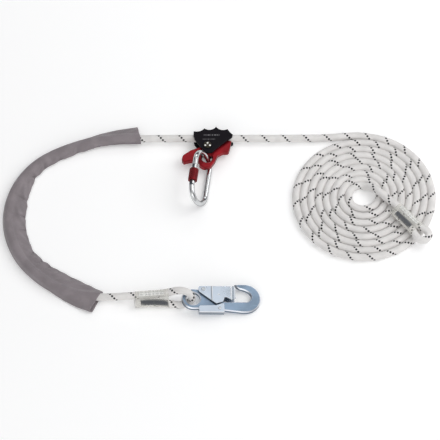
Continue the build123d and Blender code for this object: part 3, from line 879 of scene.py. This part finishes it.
# the open mouth at the snap hook's end, and the slant of the hem at either end
MOUTH_FADE, MOUTH_LIFT, MOUTH_OUT = 0.012, 4.0 * MM, 5.0 * MM
FIRST_HEM_SLANT, LAST_HEM_SLANT, HEM_FADE = 0.40, 0.18, 0.05


def tangent_height(q, reach, edge, centre, radius):
    """Height of the straight sheet from a circle round the rope down to an edge point: the line
    from the point at (reach, edge) that touches the circle's top, or the circle above the touch."""
    down = edge - centre
    distance = np.sqrt(reach ** 2 + down ** 2)
    touch = np.arctan2(down, reach) + np.arccos(np.clip(radius / distance, 0, 1))
    x, z = radius * np.cos(touch), radius * np.sin(touch)
    share = np.clip((q - x) / np.maximum(reach - x, 1e-5), 0, 1)
    sheet = z + (down - z) * share
    circle = np.sqrt(np.clip(radius ** 2 - q ** 2, 0, None))
    return centre + np.where(q > x, sheet, circle)


def drape(metres, x):
    """Slow swells of the top, in millimetres: one wave along and across multiplied by another, and
    a shorter, lower one."""
    swell = 1.0 * np.sin(metres * 83 + x * 2.4) * np.sin(x * 4 + metres * 37)
    return swell + 0.5 * np.sin(metres * 230 + 9 * x)


def protector_section(share, columns, rope_z, inward, tangent):
    """The flattened tube, relative to the rope's place on the floor. Across the tube q runs from
    the outer to the inner edge as a cosine. The top is a tent: a circle over the rope and a sheet
    that touches it and falls to each edge, drawn down a little in the middle of the flap. The
    bottom lies on the floor and rises with a lifted inner edge, as the square of q. Both close at
    the edges with sqrt(1 - x^12), x from -1 to 1 across. Notches draw the inner edge in as
    exp(-|s|), creases sink as exp(-s^2) along the tube, between two low banks. At the first end
    the outer side gapes, fading as exp(-s), and both hems slant in the same way."""
    outer, inner, outer_lift, inner_lift = (
        np.interp(share, PROTECTOR_SHAPE[:, 0], PROTECTOR_SHAPE[:, n])[:, None] * MM
        for n in range(1, 5))
    rope_z, metres = rope_z[:, None], (share * PROTECTOR_LENGTH)[:, None]
    x = -np.cos(np.linspace(0, pi, columns + 1))
    x = np.concatenate([x, x[-2:0:-1]])[None, :]
    is_top = (np.arange(2 * columns) <= columns)[None, :]
    for where, depth, width in NOTCHES:
        inner = inner - depth * np.exp(-np.abs(metres - where * PROTECTOR_LENGTH) / width)
    inner = np.maximum(inner + INNER_EASE, INNER_LEAST) + RIPPLE * np.sin(metres * RIPPLE_WAVES)
    q = (inner - outer) / 2 + (inner + outer) / 2 * x
    reach, lift = np.where(q > 0, inner, outer), np.where(q > 0, inner_lift, outer_lift)
    inner_side = np.clip(q / inner, 0, 1)

    flap = np.clip((np.abs(q) - FLAP_FROM) / (reach - FLAP_FROM + 1e-6), 0, 1)
    wide = np.clip((reach - SAG_FROM) / SAG_GROWS, 0, 1)
    top = tangent_height(np.abs(q), reach, EDGE_HEIGHT + lift, rope_z, OVER_ROPE_R)
    top = top + wide * (FLAP_SWELL * np.sin(pi * flap) - FLAP_SAG * np.sin(pi * flap ** 0.5))
    bottom = UNDER_ROPE + 0.8 * inner_lift * inner_side ** 2
    middle = EDGE_HEIGHT + 0.7 * lift * flap ** 2
    close = np.sqrt(np.clip(1 - np.abs(x) ** 12, 0, 1))
    z = middle + (np.where(is_top, top + OVER_ROPE_EASE, bottom) - middle) * close

    for where, depth, width, slant, full_at in CREASES:
        distance = (metres - where * PROTECTOR_LENGTH - slant * (inner - q)) / width
        fold = np.exp(-distance ** 2) - 0.35 * np.exp(-(np.abs(distance) - 1.9) ** 2)
        z = z - depth * fold * np.clip(inner_side / full_at, 0, 1) ** 1.5 * close * is_top
    z = z + drape(metres, x) * MM * close * is_top * np.clip(flap * 3, 0.15, 1)
    mouth = np.exp(-metres / MOUTH_FADE) * np.clip(-q / outer, 0, 1) * is_top
    z = np.maximum(z + MOUTH_LIFT * mouth * close, LEAST_HEIGHT)
    first_hem = FIRST_HEM_SLANT * np.exp(-metres / HEM_FADE)
    last_hem = LAST_HEM_SLANT * np.exp((metres - PROTECTOR_LENGTH) / HEM_FADE)
    back = (first_hem - last_hem) * q - MOUTH_OUT * mouth
    flat = inward[:, None] * q[..., None] - tangent[:, None] * back[..., None]
    flat[..., 2] = z
    return flat


def sleeve_grid(end, x, radius, waist):
    """Rings round both strands: the centre slides from one strand to the other as tanh(4 cos a),
    and the flat between them is drawn in by a bell curve."""
    a, b = strand_at(end["tail"], x), strand_at(end["standing"], x)
    half = (b - a) / 2
    gap = np.linalg.norm(half, axis=1, keepdims=True)
    across = half / gap
    normal = unit(np.cross(np.array((1.0, 0.0, 0.0)), across))
    angle = np.linspace(0, 2 * pi, 48, endpoint=False)
    slide = np.tanh(4 * np.cos(angle))
    drawn = 1 - waist * np.exp(-(slide / 0.5) ** 2)
    side = gap * slide + radius * np.cos(angle)
    high = radius * np.sin(angle) * drawn
    return (
        ((a + b) / 2)[:, None] + side[..., None] * across[:, None]
        + high[..., None] * normal[:, None])


def strand_strip(end, which, x, angles, radius, thick):
    """A thin shell on one strand: rings made of an outer arc and the inner arc back."""
    centre = strand_at(end[which], x)
    middle = (strand_at(end["tail"], x) + strand_at(end["standing"], x)) / 2
    across = unit(centre - middle)
    if which == "standing":
        across = -across
    up = unit(np.cross(across, np.array((1.0, 0.0, 0.0))))
    up = up * np.sign(up[:, 2:])
    turn = np.concatenate([angles, angles[::-1]])
    reach = np.concatenate([np.full(len(angles), radius + thick), np.full(len(angles), radius)])
    return centre[:, None] + reach[:, None] * (
        np.cos(turn)[:, None] * across[:, None] + np.sin(turn)[:, None] * up[:, None])


def zigzag_thread(end, x0, x1, passes, angles, radius, thread):
    """One thread that runs to and fro across the tail strand while it creeps along it:
    x grows evenly and the angle follows a triangle wave, with small round turns."""
    t = np.linspace(0, 1, passes * POINTS_PER_PASS)
    wave = np.abs((t * passes) % 2 - 1)
    wave = wave * wave * (3 - 2 * wave)
    ragged = 0.05 * np.sin(t * passes * 2.3) + 0.04 * np.sin(t * passes * 5.1)
    angle = angles[0] + (angles[1] - angles[0]) * wave + ragged
    x = x0 + (x1 - x0) * t
    centre = strand_at(end["tail"], x)
    across = unit(centre - (strand_at(end["standing"], x) + centre) / 2)
    up = unit(np.cross(across, np.array((1.0, 0.0, 0.0))))
    up = up * np.sign(up[:, 2:])
    lifted = radius + thread * 0.3 * (1 + 0.3 * np.cos(t * passes * pi))
    return centre + lifted[:, None] * (
        np.cos(angle)[:, None] * across + np.sin(angle)[:, None] * up)


def thread_grid(path, radius):
    """A round thread: rings carried along the path."""
    side, top = carried_frames(path)[1:]
    angle = np.linspace(0, 2 * pi, THREAD_SIDES, endpoint=False)
    return path[:, None] + radius * (
        np.cos(angle)[:, None] * side[:, None] + np.sin(angle)[:, None] * top[:, None])


# the sewn block's half length and middle at each eye, and how far the label and the sleeve stand
# toward the eye
SEWN_BLOCKS = {"hook": (0.0245, 0.0095, 0.006), "end": (0.0195, -0.001, 0.0)}
# passes of each thread over the block and the arc of the strand that they cover, points along and
# round a thread, and how much higher each next thread lies
STITCH_PASSES, STITCH_ARC = (45, 43, 47), (radians(47), radians(144))
POINTS_PER_PASS, THREAD_SIDES, THREAD_STEP = 14, 6, 0.00004
# the label: its ends along the strand, its arc and thickness, how far it sinks into the rope, and
# the length that its print is measured in
LABEL_SPAN, LABEL_ARC, LABEL_THICK = (-0.024, 0.022), (radians(48), radians(140)), 0.0006
LABEL_SUNK, LABEL_PRINT_STEP = 0.0003, 0.014
# the sleeve: its gap to the rope, wall, flare at its ends and how much its flats are drawn in
SLEEVE_GAP, SLEEVE_WALL, SLEEVE_FLARE, SLEEVE_WAIST = 0.0008, 0.0004, 0.0003, 0.22


class LANYARD_OT_sewn_ends(bpy.types.Operator):
    """Sew both eyes: dark stitching, printed label and clear sleeve"""
    bl_idname = "lanyard.sewn_ends"
    bl_label = "Sewn Ends"

    def execute(self, context):
        settings = context.scene.lanyard_sewn
        rope_r = context.scene.lanyard_rope.diameter / 2
        thread_look, label_look, sleeve_look = (
            thread_material(settings), label_material(settings), sleeve_material())
        for end in sewn_ends():
            def put(grid):
                """Sets a grid of the local frame down at this eye."""
                return turned(grid, end["at"], end["turn"], end["roll"])

            name = end["name"]
            block, middle, shift = SEWN_BLOCKS[name]
            threads = []
            for n, passes in enumerate(STITCH_PASSES):
                path = zigzag_thread(
                    end, middle - block, middle + block, passes, STITCH_ARC,
                    rope_r + THREAD_STEP * n, settings.thread)
                threads.append(surface("thread", put(thread_grid(path, settings.thread / 2))))
            stitching = joined(name + "_stitching", threads)
            place(stitching, "rope", thread_look, (name + "_splice_stitching",))

            x = np.linspace(*LABEL_SPAN, 40) + shift
            arc = np.linspace(*LABEL_ARC, 14)
            grid = strand_strip(end, "standing", x, arc, rope_r - LABEL_SUNK, LABEL_THICK)
            uv = uv_rows(np.concatenate([arc, arc[::-1], arc[:1]]), x / LABEL_PRINT_STEP)
            label = surface(name + "_label", put(grid), uv)
            place(label, "rope", label_look, (name + "_splice_label",))

            half = settings.sleeve_length / 2
            x = np.linspace(-half, half, 60) + shift
            share = np.abs(x - shift) / half
            wrinkle = 0.00015 * np.sin(x * 900) + 0.0001 * np.sin(x * 2100 + 1)
            radius = (rope_r + SLEEVE_GAP + wrinkle + SLEEVE_FLARE * share ** 6)[:, None]
            outside = sleeve_grid(end, x, radius, SLEEVE_WAIST)
            inside = sleeve_grid(end, x[::-1], radius[::-1] - SLEEVE_WALL, SLEEVE_WAIST)
            shell = put(np.concatenate([outside, inside]))
            sleeve = surface(name + "_sleeve", shell, capped=False, looped=True)
            place(sleeve, "rope", sleeve_look, (name + "_splice_sleeve",))
        return {"FINISHED"}


def joined(name, pieces):
    """One object from several meshes that already lie in place."""
    shape = bmesh.new()
    for piece in pieces:
        shape.from_mesh(piece.data)
        bpy.data.objects.remove(piece)
    mesh = bpy.data.meshes.new(name)
    shape.to_mesh(mesh)
    shape.free()
    mesh.shade_smooth()
    whole = bpy.data.objects.new(name, mesh)
    bpy.context.collection.objects.link(whole)
    return whole


class LANYARD_OT_metals(bpy.types.Operator):
    """Give every metal part its finish"""
    bl_idname = "lanyard.metals"
    bl_label = "Metal Finishes"

    def execute(self, context):
        settings = context.scene.lanyard_metal
        # black body: its edges a little paler, partly wear and partly a painted highlight
        black = metal(
            "Black Anodised Alloy", settings.black, 0.36, 900.0, (1.0, 0.15, 0.3), metallic=0.3,
            gloss=0.12, dull=0.35, marks=print_marks)
        # red lever and sleeve: grazing views darkened by a painted dark reflection
        red = metal(
            "Red Anodised Alloy", settings.red, 0.30, 700.0, (0.15, 1.0, 0.3), metallic=0.75,
            spread=0.2, edge=0.3, grazing_shade=0.5)
        dark_red = tuple(0.62 * c for c in settings.red)
        knurl = metal(
            "Red Knurled Sleeve", dark_red, 0.28, 1200.0, (1.0, 0.1, 1.0), metallic=0.7, edge=0.4,
            grazing_shade=0.6)
        # bright steel: grazing views darkened by a painted dark reflection
        steel = metal(
            "Bright Steel", settings.steel, 0.12, 300.0, (1.0, 0.08, 1.0), spread=0.05, dull=0.4,
            bump=0.000002, edge=0.2, grazing_shade=0.85)
        # blue zinc: its bright edges and bevels are painted highlights, its upright sides painted
        # shade
        zinc = metal(
            "Blue Zinc", settings.zinc, 0.32, 420.0, (0.10, 1.0, 1.0), spread=0.14, bump=0.000008,
            edge=1.3, reach=0.0012, wear_and_shading_to=(0.86, 0.88, 0.93), wall_shade=0.7)
        # pressed sheet: its bright edges and bevels are painted highlights, its upright sides
        # painted shade
        pressed = {
            "roughness": 0.22, "scale": 200.0, "stretch": (1.0, 0.12, 1.0), "spread": 0.09,
            "dull": 0.25, "bump": 0.000004, "edge": 1.3, "reach": 0.0010,
            "wear_and_shading_to": (0.95, 0.96, 0.98), "wall_shade": 0.85}
        # the gate carries painted highlight and painted shade lines at its bends
        gate = metal("Pressed Zinc Gate", settings.sheet, marks=bend_highlight_and_shade, **pressed)
        sheet = metal("Pressed Zinc Sheet", settings.sheet, **pressed)
        turned_part = {"scale": 800.0, "stretch": (1.0, 1.0, 0.2)}
        # the dark head carries three painted highlights at its stakes
        pivot = metal(
            "Staked Pivot Head", (0.045, 0.040, 0.030), 0.30, spread=0.3, marks=staked_highlights,
            **turned_part)
        plated = metal("Plated Steel", (0.62, 0.61, 0.57), 0.24, spread=0.08, **turned_part)
        # the rivet's edges darken to near black: painted shade
        rivet = metal(
            "Zinc Rivet", (0.66, 0.70, 0.74), 0.24, spread=0.08, edge=1.4,
            wear_and_shading_to=(0.10, 0.11, 0.13), **turned_part)
        bronze = metal("Bronze Bush", (0.52, 0.33, 0.14), 0.35, **turned_part)
        spring = metal("Spring Steel", (0.46, 0.46, 0.48), 0.28, 1500.0, (1.0, 1.0, 0.2))
        finishes = {
            black: ("grab_body",),
            red: ("cam_lever",),
            knurl: ("screw_sleeve",),
            steel: ("carabiner_body", "carabiner_gate"),
            zinc: ("hook_body",),
            gate: ("hook_gate",),
            sheet: ("hook_lock_lever",),
            pivot: ("pivot_bolt",),
            plated: ("pivot_nut", "pivot_spacers"),
            rivet: ("hook_gate_rivet", "hook_lever_rivet"),
            bronze: ("cam_bushing",),
            spring: (
                "cam_spring", "gate_hinge_pin", "gate_latch_pin", "gate_plunger",
                "gate_return_spring", "hook_gate_spring", "hook_lever_spring"),
        }
        for material, nodes in finishes.items():
            for node in nodes:
                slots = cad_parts[node].data.materials
                slots.clear()
                slots.append(material)
        return {"FINISHED"}


# lens and sensor in millimetres, and the point of the floor that the camera looks at
LENS, SENSOR, TARGET = 400.0, 36.0, Vector((0.02275, -0.1016, 0.0))
FLOOR_HALF, FLOOR_GLOW = 4.0, 0.17

# name, place, width and height, power in watts
LAMPS = (
    ("key", (1.8, 0.2, 1.8), (2.0, 2.0), 27.0),
    ("fill", (-0.5, -1.9, 1.1), (1.8, 1.0), 6.0),
    ("back", (0.3, 1.9, 1.6), (2.6, 0.5), 8.0),
)

# the dark band: heights where it sets in and fades out, and where it ends toward the front
BAND_RISES, BAND_FALLS, BAND_FRONT = (0.08, 0.28), (0.58, 0.80), (-0.80, -0.40)
BRIGHT, BAND_COLOUR, WORLD_STRENGTH = (1.0, 1.0, 1.0, 1.0), (0.10, 0.11, 0.13, 1.0), 0.72


class LANYARD_OT_stage(bpy.types.Operator):
    """Set the pale floor, the soft lights and the camera"""
    bl_idname = "lanyard.stage"
    bl_label = "Stage"

    def execute(self, context):
        settings = context.scene.lanyard_stage
        camera_data = bpy.data.cameras.new("camera")
        camera_data.lens, camera_data.sensor_width, camera_data.clip_end = LENS, SENSOR, 50.0
        camera = bpy.data.objects.new("camera", camera_data)
        back = Vector((0.0, -cos(settings.elevation), sin(settings.elevation)))
        camera.location = TARGET + back * (settings.view_width * LENS / SENSOR)
        camera.rotation_euler = back.to_track_quat("Z", "Y").to_euler()
        context.collection.objects.link(camera)
        context.scene.camera = camera

        mesh = bpy.data.meshes.new("floor")
        corners = [(-1, -1, 0), (1, -1, 0), (1, 1, 0), (-1, 1, 0)]
        mesh.from_pydata((FLOOR_HALF * np.array(corners)).tolist(), [], [(0, 1, 2, 3)])
        floor = bpy.data.objects.new("floor", mesh)
        context.collection.objects.link(floor)
        material, tree, shader = new_material("Pale Floor")
        colour = rgba(settings.floor_colour)
        set_inputs(
            tree, shader, Base_Color=colour, Roughness=0.9, Specular_IOR_Level=0.1,
            Emission_Color=colour, Emission_Strength=FLOOR_GLOW)
        floor.data.materials.append(material)

        for name, place_at, size, power in LAMPS:
            lamp_data = bpy.data.lights.new(name, "AREA")
            lamp_data.shape = "RECTANGLE"
            lamp_data.size, lamp_data.size_y, lamp_data.energy = *size, power
            lamp = bpy.data.objects.new(name, lamp_data)
            lamp.location = place_at
            lamp.rotation_euler = (Vector(place_at) - TARGET).to_track_quat("Z", "Y").to_euler()
            context.collection.objects.link(lamp)
        context.scene.world = studio_world()
        context.scene.view_settings.view_transform = "Standard"
        return {"FINISHED"}


def studio_world():
    """Bright all round, with a darker band at mid height, away from the front, that gives the
    metals their contrast."""
    world = bpy.data.worlds.new("studio")
    world.use_nodes = True
    tree = world.node_tree
    tree.nodes.clear()
    toward = axes_of(tree, new_node(tree, "ShaderNodeTexCoord").outputs["Generated"])
    rising, falling = (ramp(tree, toward["Z"], *heights) for heights in (BAND_RISES, BAND_FALLS))
    away = ramp(tree, toward["Y"], *BAND_FRONT)
    band = times(tree, calc(tree, "SUBTRACT", rising, falling), away)
    colour = mixed(tree, band, BRIGHT, BAND_COLOUR)
    background = new_node(tree, "ShaderNodeBackground", Color=colour, Strength=WORLD_STRENGTH)
    output = tree.nodes.new("ShaderNodeOutputWorld")
    tree.links.new(background.outputs[0], output.inputs["Surface"])
    return world


class LANYARD_PT_panel(bpy.types.Panel):
    """Lists the pieces and their settings"""
    bl_label = "Rope Grab Lanyard"
    bl_idname = "LANYARD_PT_panel"
    bl_space_type = "VIEW_3D"
    bl_region_type = "UI"
    bl_category = "Lanyard"

    def draw(self, context):
        for owner, group_class in SETTINGS.items():
            box = self.layout.box()
            for name in group_class.__annotations__:
                box.prop(getattr(context.scene, owner), name)
        for operator in OPERATORS:
            self.layout.operator(operator.bl_idname)


OPERATORS = [
    LANYARD_OT_stage, LANYARD_OT_sewn_ends, LANYARD_OT_rope, LANYARD_OT_protector,
    LANYARD_OT_metals,
]
CLASSES = [*SETTINGS.values(), *OPERATORS, LANYARD_PT_panel]


def register():
    """Adds the classes, and the settings to every scene."""
    for item in CLASSES:
        bpy.utils.register_class(item)
    for owner, group_class in SETTINGS.items():
        setattr(bpy.types.Scene, owner, PointerProperty(type=group_class))


def unregister():
    """Takes the settings and the classes away again."""
    for owner in SETTINGS:
        delattr(bpy.types.Scene, owner)
    for item in reversed(CLASSES):
        bpy.utils.unregister_class(item)


def main():
    """Builds everything. The sewn ends come before the rope."""
    register()
    bpy.ops.lanyard.stage()
    bpy.ops.lanyard.sewn_ends()
    bpy.ops.lanyard.rope()
    bpy.ops.lanyard.protector()
    bpy.ops.lanyard.metals()


if __name__ == "__main__":
    main()
